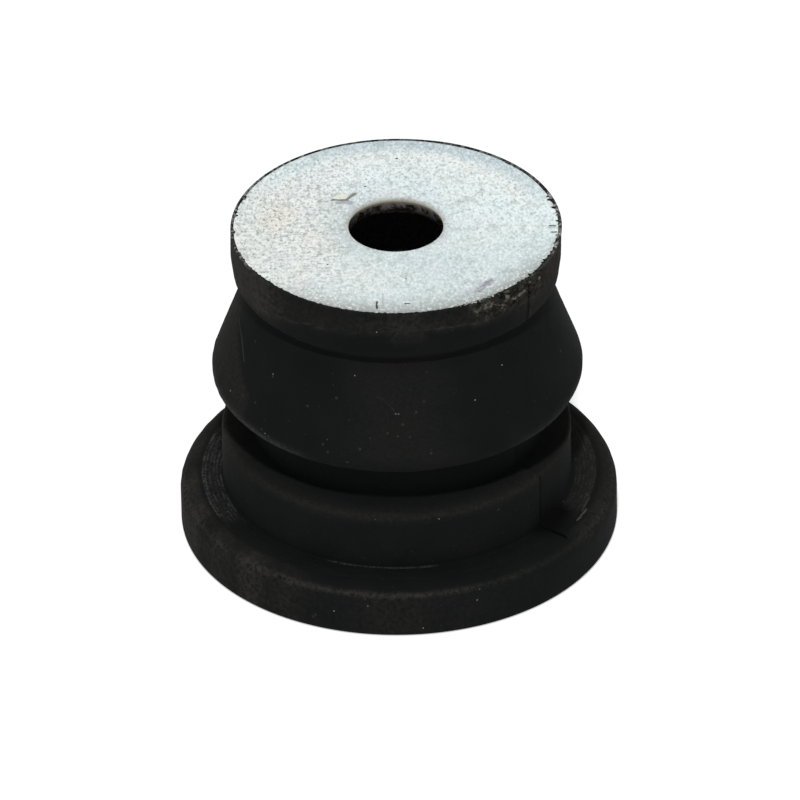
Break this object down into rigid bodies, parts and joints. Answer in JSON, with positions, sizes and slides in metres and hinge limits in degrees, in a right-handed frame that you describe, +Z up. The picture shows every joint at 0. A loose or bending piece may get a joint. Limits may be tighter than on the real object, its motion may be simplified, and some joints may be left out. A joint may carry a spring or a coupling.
{
  "type": "vibration damper",
  "caption": "Annular rubber vibration damper: conical bulge over a panel groove and a wide flange, with a drilled steel plate bonded in its small end.",
  "frame": {"origin": "centre of the flange's foot, on the axis, where the part stands", "axes": "+Z up the axis from the flange to the steel plate; the part is turned about Z, and -Y faces the picture's camera"},
  "size_m": [0.032, 0.032, 0.025],
  "materials": {
    "zinc_plate": "bluish zinc plating, fine rolled grain, a little cloudy",
    "black_rubber": "moulded black rubber, satin, light dust"
  },
  "bodies": {
    "root": {"steel_plate": "zinc_plate", "rubber_body": "black_rubber"}
  },
  "joints": []
}
